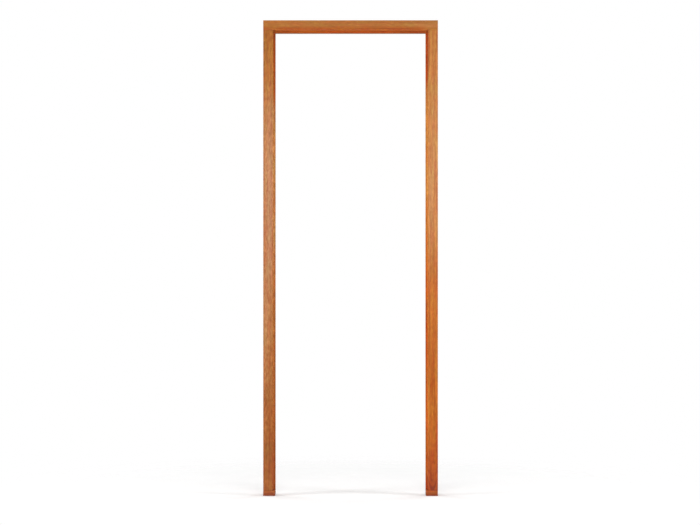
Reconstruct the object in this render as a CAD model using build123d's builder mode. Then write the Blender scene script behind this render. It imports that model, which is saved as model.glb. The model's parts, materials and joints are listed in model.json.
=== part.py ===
# A rebated hardwood door frame. A head lies over two jambs, and each jamb stands on a plain foot block.
# The head and the jambs have one moulded section: a face, a rebate that the leaf closes into, and the
# stop behind it. Each jamb has a through tenon that is wedged in the head, and wire nails hold the feet.
# Millimetres, +Z up, the leaf's side towards -Y. The origin is on the floor, midway between the jambs and
# midway through the depth of the frame.

import os

from build123d import *

# The leaf that closes into the frame, and the gaps around it
leaf_width = 686.0
leaf_height = 2032.0
leaf_thickness = 38.0
side_gap = 1.0
top_gap = 3.0
floor_gap = 10.0
back_gap = 2.0

# The moulded section, and the foot block's height
face_width = 44.0
stop_width = 9.0
stop_depth = 30.0
arris_radius = 1.5
foot_height = 24.0
foot_chamfer = 0.8

# The corner joint
outer_shoulder = 15.0
inner_shoulder = 10.0
back_shoulder = 10.0
cheek_clearance = 0.1
wedge_length = 38.0
wedge_butt = 5.0
wedge_tip = 0.8

# The wire nails
nail_length = 75.0
nail_diameter = 3.4
nail_head_diameter = 7.5
nail_head_thickness = 1.5
nail_point = 4.0
nail_recess = 1.0
nail_clearance = 0.05

# Sizes that follow
rebate_depth = leaf_thickness + back_gap
frame_depth = rebate_depth + stop_depth
section_width = face_width + stop_width
frame_width = leaf_width + 2 * (side_gap + face_width)
frame_height = foot_height + floor_gap + leaf_height + top_gap + face_width
tenon_width = section_width - outer_shoulder - inner_shoulder
tenon_thickness = stop_depth - back_shoulder
nail_radius = nail_diameter / 2
nail_head_radius = nail_head_diameter / 2

# Places that follow
left_side = -frame_width / 2
front = -frame_depth / 2
stop_face = front + rebate_depth
rebate_top = frame_height - face_width
stop_top = frame_height - section_width
tenon_left = left_side + outer_shoulder
tenon_right = tenon_left + tenon_width
wedge_foot = frame_height - wedge_length
nail_x = left_side + face_width / 2
nail_ys = (front + rebate_depth / 2, stop_face + stop_depth / 2)

jamb_plane = Plane(origin=(left_side, front, foot_height), x_dir=(1, 0, 0), z_dir=(0, 0, 1))
head_plane = Plane(origin=(left_side, front, frame_height), x_dir=(0, 0, -1), z_dir=(1, 0, 0))


def moulded_section(plane):
    # Local x runs from the wall to the opening, and local y from the leaf's side to the back.
    with BuildSketch(plane) as section:
        with BuildLine():
            Polyline(
                (0, 0),
                (face_width, 0),
                (face_width, rebate_depth),
                (section_width, rebate_depth),
                (section_width, frame_depth),
                (0, frame_depth),
                close=True,
            )
        make_face()
        # Every arris is eased but the one inside the rebate, which is left sharp.
        arrises = section.vertices().sort_by_distance((face_width, rebate_depth))[1:]
        fillet(arrises, arris_radius)
    return section.sketch


# The jamb: the face runs up to the head's face and the stop to the head's stop, where the tenon begins.
with BuildPart() as left_jamb:
    extrude(moulded_section(jamb_plane), amount=rebate_top - foot_height)
    with BuildSketch(Plane.XY.offset(stop_top)):
        with Locations((left_side, stop_face)):
            Rectangle(section_width, stop_depth, align=Align.MIN)
    extrude(amount=rebate_top - stop_top, mode=Mode.SUBTRACT)
    with BuildSketch(Plane.XY.offset(stop_top)):
        with Locations((tenon_left, stop_face)):
            Rectangle(tenon_width, tenon_thickness, align=Align.MIN)
    extrude(amount=frame_height - stop_top)
    # The nails come up through the foot, so their holes are drilled from below.
    with Locations(*[Location((nail_x, y, foot_height), (180, 0, 0)) for y in nail_ys]):
        Hole(nail_radius + nail_clearance, nail_recess + nail_length + nail_clearance - foot_height)

with BuildPart() as right_jamb:
    mirror(left_jamb.part, about=Plane.YZ)

# The head, with a mortise at each end that widens upwards for the wedges
with BuildPart() as head:
    extrude(moulded_section(head_plane), amount=frame_width)
    with BuildSketch(Plane.XZ.offset(cheek_clearance - stop_face)) as mortises:
        with BuildLine():
            Polyline(
                (tenon_left - cheek_clearance, stop_top),
                (tenon_right + cheek_clearance, stop_top),
                (tenon_right + cheek_clearance, wedge_foot),
                (tenon_right + wedge_tip, wedge_foot),
                (tenon_right + wedge_butt, frame_height),
                (tenon_left - wedge_butt, frame_height),
                (tenon_left - wedge_tip, wedge_foot),
                (tenon_left - cheek_clearance, wedge_foot),
                close=True,
            )
        make_face()
        mirror(about=Plane.YZ)
    extrude(amount=-(tenon_thickness + 2 * cheek_clearance), mode=Mode.SUBTRACT)


def tenon_wedge(tenon_edge, outwards):
    # A tapered slip between an edge of the left tenon and the mortise's end. It is driven from above and
    # trimmed level with the head. outwards is -1 towards the wall and 1 towards the opening.
    with BuildPart() as wedge:
        with BuildSketch(Plane.XZ.offset(-stop_face)):
            with BuildLine():
                Polyline(
                    (tenon_edge, wedge_foot),
                    (tenon_edge + outwards * wedge_tip, wedge_foot),
                    (tenon_edge + outwards * wedge_butt, frame_height),
                    (tenon_edge, frame_height),
                    close=True,
                )
            make_face()
        extrude(amount=-tenon_thickness)
    return wedge


left_outer_wedge = tenon_wedge(tenon_left, -1)
left_inner_wedge = tenon_wedge(tenon_right, 1)

with BuildPart() as right_outer_wedge:
    mirror(left_outer_wedge.part, about=Plane.YZ)

with BuildPart() as right_inner_wedge:
    mirror(left_inner_wedge.part, about=Plane.YZ)

# The foot block: as wide and deep as the whole jamb, with no rebate, its nail heads sunk underneath
with BuildPart() as left_foot_block:
    with Locations((left_side, front, 0)):
        Box(section_width, frame_depth, foot_height, align=Align.MIN)
    chamfer(left_foot_block.edges(), foot_chamfer)
    with Locations(*[Location((nail_x, y, 0), (180, 0, 0)) for y in nail_ys]):
        CounterBoreHole(
            nail_radius + nail_clearance,
            nail_head_radius + nail_clearance,
            nail_recess + nail_head_thickness,
            foot_height,
        )

with BuildPart() as right_foot_block:
    mirror(left_foot_block.part, about=Plane.YZ)

# One nail, point up on its head, and then all of them where they are driven
with BuildPart() as wire_nail:
    with BuildSketch(Plane.XZ):
        with BuildLine():
            Polyline(
                (0, 0),
                (nail_head_radius, 0),
                (nail_head_radius, nail_head_thickness),
                (nail_radius, nail_head_thickness),
                (nail_radius, nail_length - nail_point),
                (0, nail_length),
                close=True,
            )
        make_face()
    revolve(axis=Axis.Z)

with BuildPart() as foot_nails:
    with Locations(*[(x, y, nail_recess) for x in (nail_x, -nail_x) for y in nail_ys]):
        add(wire_nail.part)

nodes = {
    "head": head,
    "left_jamb": left_jamb,
    "right_jamb": right_jamb,
    "left_foot_block": left_foot_block,
    "right_foot_block": right_foot_block,
    "left_outer_wedge": left_outer_wedge,
    "left_inner_wedge": left_inner_wedge,
    "right_inner_wedge": right_inner_wedge,
    "right_outer_wedge": right_outer_wedge,
    "foot_nails": foot_nails,
}

os.makedirs("parts", exist_ok=True)
for name, node in nodes.items():
    node.part.label = name
    export_step(node.part, f"parts/{name}.step")
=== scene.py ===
import json
import math

import bmesh
import bpy
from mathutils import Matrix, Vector, noise


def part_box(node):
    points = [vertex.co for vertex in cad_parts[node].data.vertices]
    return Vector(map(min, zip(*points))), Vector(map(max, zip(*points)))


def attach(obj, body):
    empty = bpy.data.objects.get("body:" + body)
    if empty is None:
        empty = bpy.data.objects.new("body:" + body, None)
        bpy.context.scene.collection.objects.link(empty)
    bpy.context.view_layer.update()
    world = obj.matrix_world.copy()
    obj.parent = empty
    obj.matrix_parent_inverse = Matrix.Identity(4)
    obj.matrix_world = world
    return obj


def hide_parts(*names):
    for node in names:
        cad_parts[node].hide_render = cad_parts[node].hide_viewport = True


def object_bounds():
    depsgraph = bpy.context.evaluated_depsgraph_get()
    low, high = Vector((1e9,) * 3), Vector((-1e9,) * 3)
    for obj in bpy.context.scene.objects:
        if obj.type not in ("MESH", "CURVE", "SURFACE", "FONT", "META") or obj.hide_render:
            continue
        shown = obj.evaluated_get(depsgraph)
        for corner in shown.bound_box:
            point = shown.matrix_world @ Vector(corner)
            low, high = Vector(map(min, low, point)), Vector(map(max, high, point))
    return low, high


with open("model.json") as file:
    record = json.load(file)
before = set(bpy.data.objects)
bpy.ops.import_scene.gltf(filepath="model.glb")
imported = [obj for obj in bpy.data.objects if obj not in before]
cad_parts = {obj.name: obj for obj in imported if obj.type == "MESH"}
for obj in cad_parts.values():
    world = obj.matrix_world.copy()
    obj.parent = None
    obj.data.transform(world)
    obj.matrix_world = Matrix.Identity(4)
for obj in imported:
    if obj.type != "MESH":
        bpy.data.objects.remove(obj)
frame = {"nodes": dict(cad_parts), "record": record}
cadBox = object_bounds()
mountAt = {mount["name"]: mount["pos_m"] for mount in frame["record"]["mounts"]}
print("frame loaded:", ", ".join(sorted(frame["nodes"])))

# Sizes of the door frame, all read from the model, in metres
frameLow, frameHigh = cadBox
front = frameLow.y
frameDepth = -front * 2
faceWidth = frameHigh.x - mountAt["right_rebate_wall"][0]
rebateDepth = mountAt["left_stop_face"][1] - front
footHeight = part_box("left_foot_block")[1].z
rebateTop = frameHigh.z - faceWidth

# How each board lies: across runs in from its wall side, and along with its grain
leftLie = {"across": 0, "along": 2, "outer": frameLow.x, "inward": 1}
rightLie = {"across": 0, "along": 2, "outer": frameHigh.x, "inward": -1}
headLie = {"across": 2, "along": 0, "outer": frameHigh.z, "inward": -1}
footLie = {"across": 2, "along": 0, "outer": footHeight, "inward": -1}
wedgeLie = {"across": 0, "along": 2, "outer": 0, "inward": 1}

# Bands across a board, in from its wall side
far = 9  # past the end of any board
anywhere = (-far, far)
faceEdge = faceWidth - 0.0006
rebateCorner = (faceWidth - 0.0008, faceWidth + 0.0025)
stopZone = (faceEdge, 0.06)  # the stop and the rebate's wall
stopSoft = 0.0005  # how softly the look changes there
stopMost = (faceWidth + 0.0022, far)  # the stop but for the corner beside it
stopInside = (faceWidth + 0.0035, far)  # the stop further in still

# Bands of depth, back from the face
stopFront = (rebateDepth - 0.004, rebateDepth + 0.0014)  # the stop's face and the corner in front of it
foreside = (-far, rebateDepth + 0.0014)  # the stop's face and all that lies in front of it
depthSoft = 0.0012

# Bands along a jamb, next to its joints
jambFoot = (-far, footHeight + 0.003)
jambTop = (rebateTop - 0.001, far)


class Recipe:
    # The nodes of a material or a world, and short ways to add to them. A value may be a number or another
    # node's output.
    def __init__(self, owner):
        self.owner = owner
        self.owner.use_nodes = True
        self.tree = self.owner.node_tree
        self.tree.nodes.clear()

    def add(self, kind, inputs, **settings):
        node = self.tree.nodes.new("ShaderNode" + kind)
        for key, value in settings.items():
            setattr(node, key, value)
        for key, value in inputs.items():
            socket = node.inputs[key]
            if isinstance(value, bpy.types.NodeSocket):
                self.tree.links.new(value, socket)
            elif socket.type == "RGBA":
                socket.default_value = (*value, 1)
            else:
                socket.default_value = value
        return node

    def calc(self, operation, *values):
        return self.add("Math", dict(enumerate(values)), operation=operation).outputs[0]

    def total(self, first, *others):
        for other in others:
            first = self.calc("ADD", first, other)
        return first

    def product(self, first, *others):
        for other in others:
            first = self.calc("MULTIPLY", first, other)
        return first

    def distance(self, x, y):
        return self.calc("SQRT", self.total(self.product(x, x), self.product(y, y)))

    def swing(self, value, amount):  # 0 to 1 becomes -amount to amount
        return self.calc("MULTIPLY_ADD", value, 2 * amount, -amount)

    def fade(self, value, start, end):
        inputs = {"Value": value, "From Min": start, "From Max": end}
        return self.add("MapRange", inputs, interpolation_type="SMOOTHSTEP").outputs[0]

    def between(self, value, limits, soft):  # 1 within the limits, and 0 beyond them
        rise = self.fade(value, limits[0] - soft, limits[0] + soft)
        fall = self.fade(value, limits[1] + soft, limits[1] - soft)
        return self.product(rise, fall)

    def axes(self, x, y, z):
        return self.add("CombineXYZ", {0: x, 1: y, 2: z}).outputs[0]

    def split(self, vector):
        return self.add("SeparateXYZ", {0: vector}).outputs

    def cloud(self, vector, scale, detail):
        return self.add("TexNoise", {"Vector": vector, "Scale": scale, "Detail": detail}).outputs

    def stripes(self, position, width):  # uneven bands, about as wide as said
        inputs = {"W": position, "Scale": 1 / width, "Detail": 2.0}
        return self.add("TexNoise", inputs, noise_dimensions="1D").outputs[0]

    def ramp(self, value, tones):  # tones are pairs of a place in metres and a colour
        start, end = tones[0][0], tones[-1][0]
        node = self.add("ValToRGB", {0: self.add("MapRange", {0: value, 1: start, 2: end}).outputs[0]})
        marks = node.color_ramp.elements
        while len(marks) < len(tones):
            marks.new(1)
        for mark, (place, tone) in zip(marks, tones):
            mark.position = (place - start) / (end - start)
            mark.color = (*tone, 1)
        return node.outputs[0]

    def mixed(self, share, first, second, blend="MIX"):
        inputs = {0: share, 6: first, 7: second}
        return self.add("Mix", inputs, data_type="RGBA", blend_type=blend).outputs[2]

    def tinted(self, colour, share, tint):
        return self.mixed(share, colour, tint, "MULTIPLY")

    def bump(self, height):
        return self.add("Bump", {"Height": height, "Distance": 1.0, "Strength": 1.0}).outputs[0]

    def finished(self, surface):
        shader = self.add("BsdfPrincipled", surface)
        self.add("OutputMaterial", {"Surface": shader.outputs[0]})
        return self.owner


# Where a point lies in its board: in from the wall side, back from the face, and along the grain
def placeInBoard(recipe, lie, position):
    place = recipe.split(position)
    fromOuter = recipe.calc("SUBTRACT", place[lie["across"]], lie["outer"])
    return {
        "across": recipe.product(fromOuter, lie["inward"]),
        "depth": recipe.calc("SUBTRACT", place[1], front),
        "along": place[lie["along"]],
    }


# Growth bands about the pith, which climb where the grain sweeps out of the face
def growthBands(recipe, look, grain):
    radius = recipe.distance(
        recipe.calc("SUBTRACT", grain["across"], look["pith"][0]),
        recipe.calc("SUBTRACT", grain["depth"], look["pith"][1]),
    )
    sweep = look["sweep"]
    climb = recipe.product(recipe.fade(grain["along"], sweep["to"], sweep["from"]), sweep["by"])
    return recipe.stripes(recipe.calc("SUBTRACT", radius, climb), look["bandWidth"])


# Streaks and stains where this board has them, and the light and shade painted on it
def withStainsAndPaintedLight(recipe, look, place, colour):
    for mark in look["stains"]:
        here = recipe.product(
            recipe.between(place["across"], mark["across"], mark["soft"][0]),
            recipe.between(place["along"], mark["along"], mark["soft"][1]),
            recipe.between(place["depth"], mark["depth"], depthSoft),
        )
        colour = recipe.tinted(colour, here, mark["tint"])
    return colour


# Tongues of dark figure that point down, where a growth band leaves the face
def tongued(recipe, look, grain, colour):
    for tongue in look["tongues"]:
        aside = recipe.calc("SUBTRACT", grain["across"], tongue["across"])
        edge = recipe.product(aside, aside, tongue["steepness"])
        above = recipe.calc("SUBTRACT", recipe.calc("SUBTRACT", grain["along"], edge), tongue["tip"])
        here = recipe.product(
            recipe.between(above, (0, tongue["thick"]), tongue["soft"]),
            recipe.fade(grain["along"], tongue["end"], tongue["fadeFrom"]),
        )
        colour = recipe.tinted(colour, here, tongue["tint"])
    return colour


# Varnished hardwood as a solid, so that bands, streaks and pores run through from face to face and show
# as rings and dots on the end grain
def timber(name, look):
    recipe = Recipe(bpy.data.materials.new(name))
    coordinates = recipe.add("TexCoord", {}).outputs
    place = placeInBoard(recipe, look["lie"], coordinates["Object"])
    cut = recipe.calc("ADD", place["along"], look["cut"])  # how far up its own tree each board was sawn

    def drawnOut(where, draw):
        return recipe.axes(where["across"], where["depth"], recipe.calc("DIVIDE", cut, draw))

    def noiseIn(where, kind):
        draw, scale, detail = look["noises"][kind]
        return recipe.cloud(drawnOut(where, draw), scale, detail)

    # The edges of stains stay where they are, and the grain wanders a little to and fro.
    drift = recipe.split(noiseIn(place, "drift")[1])
    grain = {
        "across": recipe.calc("ADD", place["across"], recipe.swing(drift[0], look["wander"])),
        "depth": recipe.calc("ADD", place["depth"], recipe.swing(drift[1], look["wander"])),
        "along": place["along"],
    }
    band = growthBands(recipe, look, grain)
    broad = noiseIn(grain, "broad")[0]
    fine = noiseIn(grain, "fine")[0]
    hair = noiseIn(grain, "hair")[0]
    fleck = noiseIn(grain, "fleck")[0]
    blotch = noiseIn(grain, "blotch")[0]
    figure = recipe.total(
        0.5,  # midway from deep to pale
        recipe.swing(band, look["bandDepth"]),
        recipe.swing(broad, look["broadDepth"]),
        recipe.swing(fine, look["fineDepth"]),
        recipe.swing(fleck, look["fleckDepth"]),
    )
    colour = recipe.ramp(place["along"], look["tones"])
    colour = recipe.tinted(colour, 1.0, recipe.mixed(figure, look["deep"], look["pale"]))
    hue = recipe.mixed(recipe.fade(blotch, *look["softContrast"]), look["blush"], look["olive"])
    colour = recipe.tinted(colour, 1.0, hue)
    fibre = recipe.mixed(recipe.fade(hair, *look["softContrast"]), look["fibreDark"], look["fibreLight"])
    colour = recipe.tinted(colour, 1.0, fibre)
    colour = withStainsAndPaintedLight(recipe, look, place, colour)
    colour = tongued(recipe, look, grain, colour)

    # Open pores: short dark dashes along the grain, closest together in the dark flecks
    pores = look["pores"]
    grid = {"Vector": drawnOut(grain, pores["draw"]), "Scale": pores["scale"]}
    cells = recipe.add("TexVoronoi", grid, feature="F1").outputs[0]
    pore = recipe.fade(cells, pores["rim"], pores["core"])
    poreShare = recipe.calc("MULTIPLY_ADD", fleck, -pores["thinning"] * pores["share"], pores["share"])
    colour = recipe.tinted(colour, recipe.product(pore, poreShare), pores["tint"])

    # Arrises rubbed thin, painted shade in the inner corners such as the rebate's, and thirsty end grain
    arris = recipe.add("Attribute", {}, attribute_name="arris").outputs["Fac"]
    corner = recipe.add("Attribute", {}, attribute_name="corner").outputs["Fac"]
    rubbed = recipe.product(arris, recipe.fade(noiseIn(grain, "rub")[0], *look["rubContrast"]))
    colour = recipe.tinted(colour, rubbed, look["arrisTint"])
    colour = recipe.tinted(colour, corner, look["cornerTint"])
    facing = recipe.split(coordinates["Normal"])[look["lie"]["along"]]
    endGrain = recipe.fade(recipe.calc("ABSOLUTE", facing), *look["endFacing"])
    colour = recipe.tinted(colour, endGrain, look["endTint"])

    # Varnish follows the pores and fibres, with a slight peel of its own.
    peel = recipe.cloud(coordinates["Object"], *look["peel"])[0]
    rough = look["roughness"]
    roughness = recipe.total(
        rough["varnish"],
        recipe.swing(fine, rough["fine"]),
        recipe.product(pore, rough["pore"]),
        recipe.product(endGrain, rough["endGrain"]),
        recipe.product(recipe.between(place["across"], stopZone, stopSoft), rough["stop"]),
    )
    relief = look["relief"]
    height = recipe.total(
        recipe.product(pore, relief["pore"]),
        recipe.product(hair, relief["hair"]),
        recipe.product(fine, relief["fine"]),
        recipe.product(peel, relief["peel"]),
    )
    return recipe.finished({
        "Base Color": colour,
        "Roughness": roughness,
        "Normal": recipe.bump(height),
        "Specular IOR Level": look["gloss"],
    })


# Drawn wire: fine scratches along the shank, a chequered head, and a little dulling
def wireSteel(name, look):
    recipe = Recipe(bpy.data.materials.new(name))
    coordinates = recipe.add("TexCoord", {}).outputs
    place = recipe.split(coordinates["Object"])
    scratches, dulling, checks = look["scratches"], look["dulling"], look["checks"]
    drawn = recipe.axes(place[0], place[1], recipe.product(place[2], scratches["squeeze"]))
    scratch = recipe.cloud(drawn, *scratches["noise"])[0]
    dull = recipe.cloud(coordinates["Object"], *dulling["noise"])[0]
    downwards = recipe.fade(recipe.split(coordinates["Normal"])[2], *checks["facing"])
    grid = {"Vector": coordinates["Object"], "Scale": checks["scale"]}
    check = recipe.add("TexChecker", grid).outputs["Fac"]
    height = recipe.total(
        recipe.product(scratch, scratches["height"]),
        recipe.product(check, downwards, checks["height"]),
    )
    return recipe.finished({
        "Base Color": recipe.mixed(recipe.fade(dull, *dulling["contrast"]), look["bright"], look["dulled"]),
        "Metallic": 1.0,
        "Roughness": recipe.total(
            look["roughness"],
            recipe.swing(scratch, scratches["roughness"]),
            recipe.swing(dull, dulling["roughness"]),
        ),
        "Normal": recipe.bump(height),
    })


# How a board's mesh is worked. The bends are between the faces on either side of an edge.
meshWork = {
    "joinWithin": 1e-6,
    "flatWithin": math.radians(0.1),
    "endWithin": 1e-5,
    "cutWithin": 1e-7,
    "arrisBend": math.radians(2),  # the least that counts as an arris
    "fullBend": math.radians(8),  # from here on an arris is worn in full
    "cornerBend": math.radians(60),  # the least that counts as a corner, where the bend is inwards
    "sharpBend": math.radians(35),  # the least that isn't shaded smoothly
    "withGrain": 0.9,  # how nearly an edge has to run with the grain
    "sideOn": 0.1,  # how nearly square to the grain the normal of a side has to be
}


def axisOf(number):
    return Vector([float(i == number) for i in range(3)])


def copyOfNode(node):
    mesh = bmesh.new()
    mesh.from_mesh(frame["nodes"][node].data)
    bmesh.ops.remove_doubles(mesh, verts=mesh.verts, dist=meshWork["joinWithin"])
    bmesh.ops.dissolve_limit(mesh, angle_limit=meshWork["flatWithin"], verts=mesh.verts, edges=mesh.edges)
    return mesh


# Ease the edges round the end that stands at this place along the grain
def easeEnd(mesh, along, place, ease):
    ring = []
    for edge in mesh.edges:
        atEnd = all(abs(vert.co[along] - place) < meshWork["endWithin"] for vert in edge.verts)
        if atEnd and any(abs(face.normal[along]) < meshWork["sideOn"] for face in edge.link_faces):
            ring.append(edge)
    bmesh.ops.bevel(mesh, geom=ring, offset=ease, segments=2, profile=0.5, affect="EDGES")


# Cut through the whole mesh, so that colour and wear can vary between the cuts
def sliceAt(mesh, number, places):
    axis = axisOf(number)
    cutWithin = meshWork["cutWithin"]
    for place in places:
        everything = mesh.verts[:] + mesh.edges[:] + mesh.faces[:]
        bmesh.ops.bisect_plane(mesh, geom=everything, dist=cutWithin, plane_co=axis * place, plane_no=axis)


# Mark the points on arrises and in the rebate's corner, and take the arrises down a hair, more in some
# places than in others
def wearArrises(mesh, look, start, end):
    along = look["lie"]["along"]
    grain = axisOf(along)
    shift = Vector((look["cut"], 0, 0))
    arris = mesh.verts.layers.float.new("arris")
    corner = mesh.verts.layers.float.new("corner")
    mesh.normal_update()
    moves = {}
    for edge in mesh.edges:
        turn = edge.calc_face_angle_signed(0)
        run = (edge.verts[1].co - edge.verts[0].co).normalized()
        withGrain = abs(run.dot(grain)) >= meshWork["withGrain"]
        if abs(turn) < meshWork["arrisBend"] or not (withGrain or look["wearAll"]):
            continue
        for vert in edge.verts:
            if turn > 0:
                vert[arris] = 1
                share = min(turn / meshWork["fullBend"], 1)
                worn = max(0, look["wearMean"] + noise.noise((vert.co + shift) * look["wearPitch"]))
                fromEnd = min(vert.co[along] - start, end - vert.co[along])
                onset = min(1, fromEnd / look["wearFromEnd"])
                moves[vert] = -vert.normal * look["wear"] * share * worn * max(onset, 0)
            elif turn < -meshWork["cornerBend"]:
                vert[corner] = 1
    for vert, move in moves.items():
        vert.co += move


# A board is a copy of its CAD solid, cut into short lengths, with worn arrises and its own timber.
def board(node, name, look, material):
    lie = look["lie"]
    low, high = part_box(node)
    start, end = low[lie["along"]], high[lie["along"]]
    mesh = copyOfNode(node)
    ends = {"low": start, "high": end}
    for which in look["easedEnds"]:
        easeEnd(mesh, lie["along"], ends[which], look["endEase"])
    sliceAt(mesh, lie["across"], [lie["outer"] + lie["inward"] * inFrom for inFrom in look["slicesAcross"]])
    sliceAt(mesh, 1, [front + back for back in look["slicesDeep"]])
    lengths = round((end - start) / look["length"])
    sliceAt(mesh, lie["along"], [start + (end - start) * i / lengths for i in range(1, lengths)])
    wearArrises(mesh, look, start, end)
    mesh.normal_update()
    for edge in mesh.edges:
        edge.smooth = edge.calc_face_angle(math.pi) < meshWork["sharpBend"]
    for face in mesh.faces:
        face.smooth = True
    data = bpy.data.meshes.new(name)
    mesh.to_mesh(data)
    mesh.free()
    data.materials.append(material)
    piece = bpy.data.objects.new(name, data)
    bpy.context.scene.collection.objects.link(piece)
    evened = piece.modifiers.new("evenedNormals", "WEIGHTED_NORMAL")
    evened.keep_sharp = True
    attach(piece, "root")
    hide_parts(node)
    print(name, "has", len(data.vertices), "points and", len(data.polygons), "faces")
    return piece


# A tinted stretch of a board, for stains and for painted light and shade: where it lies across and along
# it, how soft its edges are both ways, and between what depths it lies
def stainAndPaintedLight(across, along, tint, soft, depth=foreside):
    return {"across": across, "along": along, "tint": tint, "soft": soft, "depth": depth}


# Tones of the varnished timber, shared by the boards
ochre = (0.32, 0.104, 0.011)
tan = (0.355, 0.13, 0.032)
fawn = (0.37, 0.139, 0.044)
umber = (0.287, 0.08, 0.012)
peat = (0.29, 0.096, 0.009)
amber = (0.385, 0.14, 0.026)
honey = (0.42, 0.154, 0.031)
orange = (0.405, 0.11, 0.01)
russet = (0.35, 0.066, 0.005)
cinnamon = (0.325, 0.11, 0.017)
brick = (0.28, 0.06, 0.01)
rust = (0.335, 0.07, 0.007)

# What all the boards have, unless their own dictionary says otherwise
plainTimber = {
    "wander": 0.004,  # how far the grain strays to either side
    "sweep": {"from": 0.0, "to": 0.4, "by": 0.0},  # a shift of the growth bands that fades out along them
    "noises": {  # how far each is drawn out along the grain, its scale and its detail
        "drift": (9, 22, 1.5),
        "broad": (26, 95, 2.5),
        "fine": (40, 420, 2),
        "hair": (30, 1500, 1),
        "fleck": (3, 125, 2),
        "blotch": (5, 62, 3),
        "rub": (4, 60, 3),
    },
    "softContrast": (0.3, 0.7),
    "rubContrast": (0.35, 0.7),
    "fibreDark": (0.86, 0.79, 0.72),  # tints of the finest streaks
    "fibreLight": (1.2, 1.29, 1.38),
    "deep": (0.8, 0.66, 0.5),  # tints of the bands, the broader streaks and the flecks
    "pale": (1.2, 1.34, 1.5),
    "blush": (1.05, 0.9, 0.9),  # tints of the blotches
    "olive": (0.97, 1.08, 1.0),
    "pores": {
        "draw": 14,
        "scale": 1250,
        "rim": 0.3,  # a pore's outer edge, as a part of its cell
        "core": 0.12,
        "share": 0.9,
        "thinning": 0.6,  # how much of that share is lost in the pale flecks
        "tint": (0.5, 0.38, 0.32),
    },
    "tongues": [],
    "arrisTint": (1.15, 1.28, 1.45),
    # painted shade that darkens the inner corners
    "cornerTint": (0.97, 0.94, 0.9),
    "endTint": (0.62, 0.5, 0.42),
    "endFacing": (0.6, 0.9),  # from where a surface starts to show end grain to where it is all end grain
    "roughness": {"varnish": 0.34, "fine": 0.08, "pore": 0.2, "endGrain": 0.18, "stop": 0.25},
    "relief": {"pore": -5e-5, "hair": 1.2e-5, "fine": 2.5e-5, "peel": 1.2e-5},
    "peel": (240, 2),  # the scale and detail of its noise
    "gloss": 0.35,
    "length": 0.012,  # of the stretches that a board is cut into
    "slicesAcross": [0.004, faceWidth / 2, faceWidth - 0.004, faceWidth + 0.003],
    "slicesDeep": [
        0.004,
        rebateDepth - 0.014,
        rebateDepth - 0.003,
        rebateDepth + 0.004,
        frameDepth - 0.004,
    ],
    "wear": 0.0003,
    "wearMean": 0.5,
    "wearPitch": 40,
    "wearFromEnd": 0.02,  # where full wear is reached
    "wearAll": False,  # whether arrises across the grain are worn too
    "easedEnds": [],
    "endEase": 0.0005,
}

leftJamb = {
    **plainTimber,
    "lie": leftLie,
    "cut": 0.0,
    "pith": (0.15, 0.12),
    "bandWidth": 0.009,
    "bandDepth": 0.4,
    "broadDepth": 0.7,
    "fineDepth": 0.5,
    "fleckDepth": 1.1,
    "tones": [(0.2, umber), (0.62, tan), (1.0, fawn), (1.7, tan), (1.86, ochre), (2.1, peat)],
    "stains": [
        # The stop, reddest at the top, and painted lighter below that against the shade of the rebate
        stainAndPaintedLight(stopZone, (1.74, far), (0.97, 0.5, 0.15), (stopSoft, 0.07), stopFront),
        # painted light: lightens the stop below the red against the shade in its recess
        stainAndPaintedLight(stopZone, (-far, 1.68), (1.13, 1.05, 0.8), (stopSoft, 0.07)),
        stainAndPaintedLight(stopMost, (-far, 0.3), (0.9, 0.82, 0.75), (0.0008, 0.05)),
        stainAndPaintedLight(stopMost, (0.35, 0.92), (0.88, 0.88, 0.85), (0.0008, 0.05)),
        stainAndPaintedLight(stopMost, (1.02, 1.64), (1.04, 1.3, 1.6), (0.0008, 0.06)),
        # The corner of the rebate, painted lighter against the shade that falls there, palest in the upper
        # half
        stainAndPaintedLight(rebateCorner, anywhere, (1.3, 1.4, 1.3), (0.0008, 0.07), stopFront),
        stainAndPaintedLight(rebateCorner, (0.9, far), (1.02, 1.12, 1.25), (0.0008, 0.07)),
        stainAndPaintedLight(rebateCorner, (1.0, far), (1.02, 1.16, 1.3), (0.0008, 0.07), stopFront),
        stainAndPaintedLight(rebateCorner, (1.05, 1.75), (1.0, 1.02, 1.45), (0.0008, 0.05), stopFront),
        stainAndPaintedLight(rebateCorner, (1.68, 1.9), (1.1, 1.2, 1.3), (0.0008, 0.05), stopFront),
        # Dark along the face's inner arris: at the top a painted shade in the corner under the head, and in
        # the lower half
        # painted shade in the rebate's corner under the head
        stainAndPaintedLight((faceWidth - 0.0045, faceWidth + 0.003), (2.03, far), (0.85, 0.72, 0.65), (0.0015, 0.01)),
        stainAndPaintedLight((faceWidth - 0.005, faceEdge), (-far, 1.25), (0.97, 0.84, 0.65), (0.001, 0.1)),
        stainAndPaintedLight((0.022, faceEdge), (0.08, 0.9), (0.93, 0.9, 0.95), (0.003, 0.1)),
        # Pale streaks up the face, partly the wood's own and partly a painted sheen of the varnish, and
        # duller ones beside them
        # painted sheen: the pale, bluish streaks stand in for part of the varnish's reflection
        stainAndPaintedLight((0.018, 0.039), (0.95, 1.78), (1.0, 1.06, 1.3), (0.006, 0.1)),
        stainAndPaintedLight((0.005, 0.022), (0.15, 0.95), (1.03, 1.12, 1.45), (0.005, 0.1)),
        stainAndPaintedLight((-far, 0.01), (0.95, 1.7), (0.98, 0.95, 0.82), (0.006, 0.2)),
        stainAndPaintedLight((0.012, 0.033), (0.06, 0.25), (0.88, 0.9, 0.97), (0.005, 0.03)),
        # Painted shade at the joints with the foot block and the head
        stainAndPaintedLight(anywhere, jambFoot, (0.88, 0.8, 0.75), (0.01, 0.002), anywhere),
        stainAndPaintedLight(anywhere, jambTop, (0.8, 0.7, 0.65), (0.01, 0.001), anywhere),
    ],
    "easedEnds": ["low"],
}
leftJambTimber = timber("leftJambTimber", leftJamb)
board("left_jamb", "leftJambBoard", leftJamb, leftJambTimber)

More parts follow.
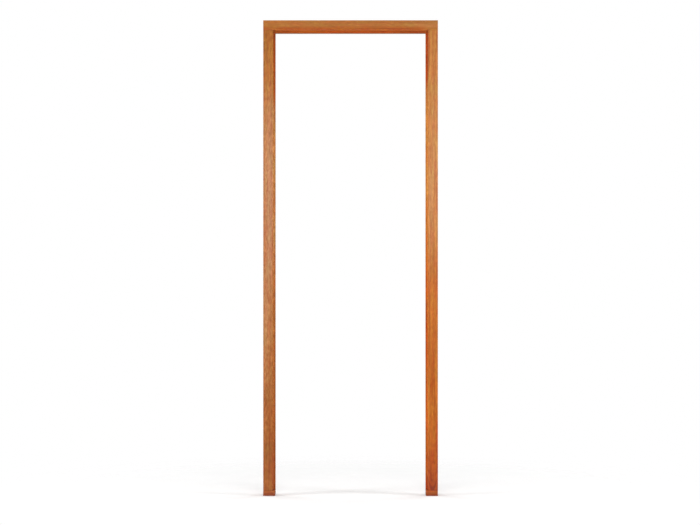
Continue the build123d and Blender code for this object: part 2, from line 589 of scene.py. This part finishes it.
rightJamb = {
    **plainTimber,
    "lie": rightLie,
    "cut": 5.0,
    "pith": (0.026, 0.05),
    "sweep": {"from": 0.02, "to": 0.3, "by": -0.03},
    "bandWidth": 0.006,
    "bandDepth": 0.9,
    "broadDepth": 1.0,
    "fineDepth": 0.8,
    "fleckDepth": 0.6,
    "tones": [(0.15, russet), (0.33, orange), (0.95, orange), (1.2, honey), (1.8, amber), (2.08, amber)],
    "stains": [
        # The stop, deep red at the top, palest below that and dark in the lower half; below the red it is
        # painted lighter against the shade of the rebate
        stainAndPaintedLight(stopZone, (1.83, far), (0.98, 0.38, 0.03), (stopSoft, 0.05), stopFront),
        # painted light: lightens the stop below the red against the shade in its recess
        stainAndPaintedLight(stopZone, (-far, 1.79), (1.25, 1.12, 0.9), (stopSoft, 0.05)),
        stainAndPaintedLight(stopInside, (1.3, 1.82), (0.97, 1.18, 1.6), (0.001, 0.05)),
        stainAndPaintedLight(stopInside, (0.35, 1.26), (0.8, 0.64, 0.4), (0.001, 0.05)),
        stainAndPaintedLight(stopInside, (0.74, 0.88), (0.82, 0.66, 0.8), (0.001, 0.03)),
        stainAndPaintedLight(stopInside, (0.12, 0.5), (0.88, 0.88, 0.75), (0.001, 0.03)),
        stainAndPaintedLight((faceWidth + 0.0025, far), (0.08, 0.24), (0.98, 1.3, 0.85), (0.001, 0.02)),
        stainAndPaintedLight((faceWidth + 0.0005, far), (0.67, 0.88), (0.87, 0.84, 0.8), (0.001, 0.03)),
        stainAndPaintedLight((faceWidth - 0.007, far), (0.64, 0.78), (0.94, 0.84, 0.6), (0.004, 0.04)),
        # The corner of the rebate, painted lighter against the shade that falls there, palest above the
        # middle and darker at both ends
        stainAndPaintedLight(rebateCorner, anywhere, (1.25, 1.4, 1.4), (0.0008, 0.05), stopFront),
        stainAndPaintedLight(rebateCorner, (0.9, 1.84), (1.02, 1.12, 1.3), (0.0008, 0.05)),
        stainAndPaintedLight(rebateCorner, (1.3, 1.75), (1.04, 1.17, 1.3), (0.0008, 0.08)),
        stainAndPaintedLight(rebateCorner, (1.28, 1.7), (1.2, 1.6, 2.0), (0.0008, 0.05), stopFront),
        stainAndPaintedLight(rebateCorner, (1.88, far), (0.98, 0.84, 0.6), (0.0008, 0.04)),
        stainAndPaintedLight(rebateCorner, (-far, 0.2), (0.85, 0.9, 0.7), (0.0008, 0.05)),
        # Dark along the face's inner arris
        stainAndPaintedLight((faceWidth - 0.0045, faceEdge), (1.87, far), (0.84, 0.58, 0.42), (0.002, 0.05)),
        stainAndPaintedLight((faceWidth - 0.01, faceEdge), (1.9, far), (0.93, 0.78, 0.68), (0.004, 0.05)),
        stainAndPaintedLight((faceWidth - 0.0043, faceEdge), (1.1, 1.68), (0.95, 0.8, 0.55), (0.001, 0.04)),
        # Pale streaks up the face
        stainAndPaintedLight((0.021, 0.041), (1.42, 1.92), (1.13, 1.24, 1.25), (0.004, 0.05)),
        stainAndPaintedLight((0.017, 0.028), (1.42, 1.88), (1.03, 1.12, 1.4), (0.004, 0.05)),
        stainAndPaintedLight((0.022, 0.034), (1.06, 1.42), (1.03, 1.14, 1.5), (0.005, 0.05)),
        stainAndPaintedLight((0.021, 0.041), (0.09, 0.45), (1.1, 1.2, 1.2), (0.004, 0.05)),
        stainAndPaintedLight((0.003, 0.018), (0.07, 0.2), (1.06, 1.25, 0.85), (0.003, 0.02)),
        # Dark and red towards the foot
        stainAndPaintedLight((0.015, 0.035), (0.46, 0.54), (1.0, 0.86, 0.7), (0.006, 0.03)),
        stainAndPaintedLight((-far, 0.008), (0.06, 0.34), (0.91, 0.68, 0.55), (0.003, 0.03)),
        stainAndPaintedLight((0.012, 0.038), (-far, 0.22), (0.9, 0.75, 0.8), (0.007, 0.05)),
        stainAndPaintedLight(anywhere, (-far, 0.07), (0.8, 0.62, 0.42), (0.01, 0.03), anywhere),
        # Painted shade at the joints with the foot block and the head
        stainAndPaintedLight(anywhere, jambFoot, (0.76, 0.58, 0.5), (0.01, 0.002), anywhere),
        stainAndPaintedLight(anywhere, jambTop, (0.8, 0.7, 0.65), (0.01, 0.001), anywhere),
    ],
    "tongues": [
        {
            "across": 0.0245,
            "tip": 0.024,
            "steepness": 105,
            "thick": 0.019,
            "soft": 0.005,
            "fadeFrom": 0.054,
            "end": 0.114,
            "tint": (0.66, 0.58, 0.9),
        },
        {
            "across": 0.0255,
            "tip": 0.066,
            "steepness": 160,
            "thick": 0.008,
            "soft": 0.005,
            "fadeFrom": 0.096,
            "end": 0.156,
            "tint": (0.85, 0.74, 0.9),
        },
    ],
    "easedEnds": ["low"],
}
rightJambTimber = timber("rightJambTimber", rightJamb)
board("right_jamb", "rightJambBoard", rightJamb, rightJambTimber)

head = {
    **plainTimber,
    "lie": headLie,
    "cut": 11.0,
    "pith": (0.16, 0.1),
    "bandWidth": 0.008,
    "bandDepth": 0.45,
    "broadDepth": 0.5,
    "fineDepth": 0.45,
    "fleckDepth": 0.4,
    "tones": [(-0.4, cinnamon), (0.4, cinnamon)],
    "stains": [
        # Redder towards the lower arris
        stainAndPaintedLight((0.0295, far), (-0.33, 0.32), (0.94, 0.64, 0.12), (0.009, 0.03)),
        stainAndPaintedLight((0.022, far), (-far, -0.33), (0.96, 0.84, 0.5), (0.009, 0.03)),
        stainAndPaintedLight((faceWidth - 0.008, faceEdge), anywhere, (0.97, 0.86, 0.6), (0.003, 0.01)),
        # Paler at both ends
        stainAndPaintedLight((0.004, 0.03), (0.27, far), (1.06, 1.2, 1.7), (0.004, 0.05)),
        stainAndPaintedLight((-far, 0.016), (-far, -0.27), (1.08, 1.18, 1.2), (0.005, 0.05)),
        # The stop, under a pale line in the corner of the rebate that is painted light against the corner's
        # shade
        stainAndPaintedLight(stopZone, anywhere, (1.09, 0.97, 0.8), (stopSoft, 0.01)),
        stainAndPaintedLight(stopInside, anywhere, (0.92, 0.74, 0.6), (0.001, 0.01)),
        # painted light: the pale line lightens the shaded corner of the rebate
        stainAndPaintedLight((faceWidth - 0.0008, faceWidth + 0.001), anywhere, (1.5, 1.55, 1.0), (0.0008, 0.01)),
        # Painted shade in the corners where the stop meets the jambs
        stainAndPaintedLight((faceWidth - 0.0035, far), (-far, -0.336), (0.74, 0.62, 0.6), (0.0015, 0.003)),
        stainAndPaintedLight((faceWidth - 0.0035, far), (0.337, 0.349), (0.8, 0.6, 0.5), (0.0015, 0.003)),
    ],
    "easedEnds": ["low", "high"],
}
headTimber = timber("headTimber", head)
board("head", "headBoard", head, headTimber)

footBlock = {
    **plainTimber,
    "lie": footLie,
    "cut": 17.0,
    "pith": (0.05, 0.11),
    "bandWidth": 0.004,
    "bandDepth": 0.7,
    "broadDepth": 0.4,
    "fineDepth": 0.5,
    "fleckDepth": 0.3,
    "tones": [(-0.2, brick), (0.2, rust)],
    "stains": [
        # Painted shade, darker towards the floor, the right block more so
        stainAndPaintedLight((0.01, far), anywhere, (0.74, 0.64, 0.7), (0.004, 0.01), anywhere),
        stainAndPaintedLight((0.008, far), (0, far), (0.84, 0.78, 0.6), (0.004, 0.01), anywhere),
    ],
    "slicesAcross": [],
    "slicesDeep": [],
    "wearAll": True,
}
footTimber = timber("footTimber", footBlock)
board("left_foot_block", "leftFootBoard", footBlock, footTimber)
board("right_foot_block", "rightFootBoard", footBlock, footTimber)

wedge = {
    **plainTimber,
    "lie": wedgeLie,
    "cut": 23.0,
    "pith": (0.0, 0.2),
    "bandWidth": 0.003,
    "bandDepth": 0.8,
    "broadDepth": 0.4,
    "fineDepth": 0.5,
    "fleckDepth": 0.2,
    "tones": [(2.0, honey), (2.2, honey)],
    "stains": [],
    "endTint": (0.85, 0.78, 0.7),
}
wedgeTimber = timber("wedgeTimber", wedge)
for node in ("left_outer_wedge", "left_inner_wedge", "right_inner_wedge", "right_outer_wedge"):
    frame["nodes"][node].data.materials[0] = wedgeTimber
print("wedges varnished")

nails = {
    "bright": (0.56, 0.55, 0.53),
    "dulled": (0.3, 0.29, 0.28),
    "roughness": 0.36,
    "scratches": {"squeeze": 0.03, "noise": (2600, 2), "roughness": 0.08, "height": 6e-6},
    "dulling": {"noise": (320, 3), "contrast": (0.35, 0.7), "roughness": 0.1},
    "checks": {"scale": 1400, "facing": (-0.8, -0.95), "height": 6e-5},
}
frame["nodes"]["foot_nails"].data.materials[0] = wireSteel("nailWire", nails)
print("nails finished")

# The pale floor fades out into the white round it.
floorLook = {
    "radius": 6.0,
    "sides": 96,
    "tone": (0.82, 0.82, 0.82),
    "roughness": 0.9,
    "gloss": 0.1,
    "fadeFrom": 0.6,
    "fadeTo": 1.9,
}
bpy.ops.mesh.primitive_circle_add(vertices=floorLook["sides"], radius=floorLook["radius"], fill_type="NGON")
floor = bpy.context.object
floor.name = "floor"
paint = Recipe(bpy.data.materials.new("paleFloor"))
spot = paint.split(paint.add("TexCoord", {}).outputs["Object"])
floor.data.materials.append(paint.finished({
    "Base Color": floorLook["tone"],
    "Roughness": floorLook["roughness"],
    "Specular IOR Level": floorLook["gloss"],
    "Alpha": paint.fade(paint.distance(spot[0], spot[1]), floorLook["fadeTo"], floorLook["fadeFrom"]),
}))
print("floor laid")


def softLight(name, look):
    data = bpy.data.lights.new(name, "AREA")
    data.shape = "RECTANGLE"
    data.size, data.size_y = look["size"]
    data.energy = look["power"]
    aim = Vector(look["towards"]) - Vector(look["at"])
    light = bpy.data.objects.new(name, data)
    light.location = look["at"]
    light.rotation_euler = aim.to_track_quat("-Z", "Y").to_euler()
    light.visible_camera = False
    light.visible_glossy = look.get("glossy", False)
    bpy.context.scene.collection.objects.link(light)


# Only the sheen panel is seen in the gloss of the varnish.
panels = {
    "keyPanel": {"at": (0, -3, 1.75), "towards": (0, 0, 1.6), "size": (1.8, 1.2), "power": 40.5},
    "sheenPanel": {
        "at": (0, -3, 1.52),
        "towards": (0, 0, 1.5),
        "size": (1.5, 0.5),
        "power": 15,
        "glossy": True,
    },
    "overheadPanel": {"at": (0, 0, 3.6), "towards": (0, 0, 0), "size": (3, 3), "power": 26},
    "leftFill": {"at": (-2.6, -0.9, 1.5), "towards": (0, 0, 1.2), "size": (0.8, 1.6), "power": 40},
    "rightFill": {"at": (2.6, -0.9, 1.5), "towards": (0, 0, 1.2), "size": (0.8, 1.6), "power": 40},
    "rearLeftPanel": {"at": (-2.4, 2.4, 1.8), "towards": (0, 0, 1.2), "size": (2.4, 2.4), "power": 50},
    "rearRightPanel": {"at": (2.4, 2.4, 1.8), "towards": (0, 0, 1.2), "size": (2.4, 2.4), "power": 50},
}
for name, panel in panels.items():
    softLight(name, panel)
print(len(panels), "lights hung")

# White to the camera, and a gentler fill for the object
surroundLook = {"tone": (1, 1, 1), "seen": 1.0, "fill": 0.35}
world = bpy.data.worlds.new("white")
bpy.context.scene.world = world
surround = Recipe(world)
seen = surround.add("Background", {"Color": surroundLook["tone"], "Strength": surroundLook["seen"]})
fill = surround.add("Background", {"Color": surroundLook["tone"], "Strength": surroundLook["fill"]})
toCamera = surround.add("LightPath", {}).outputs["Is Camera Ray"]
either = surround.add("MixShader", {0: toCamera, 1: fill.outputs[0], 2: seen.outputs[0]})
surround.add("OutputWorld", {"Surface": either.outputs[0]})
print("white surround set")

# The photograph's view: square on from the leaf's side, from far back
view = {
    "distance": 9.0,  # in front of the face
    "pixelsPerMetre": 225.17,  # at the face, in a frame 700 by 525 pixels
    "frameWidth": 700,
    "sensorWidth": 36,
    "height": 1.037,
    "aside": -0.0025,
}
cameraData = bpy.data.cameras.new("camera")
cameraData.sensor_width = view["sensorWidth"]
cameraData.lens = view["sensorWidth"] * view["distance"] * view["pixelsPerMetre"] / view["frameWidth"]
camera = bpy.data.objects.new("camera", cameraData)
camera.location = (view["aside"], front - view["distance"], view["height"])
camera.rotation_euler = (math.radians(90), 0, 0)
bpy.context.scene.collection.objects.link(camera)
bpy.context.scene.camera = camera
bpy.context.scene.view_settings.view_transform = "Standard"
print("camera set up with a lens of", round(cameraData.lens), "mm")
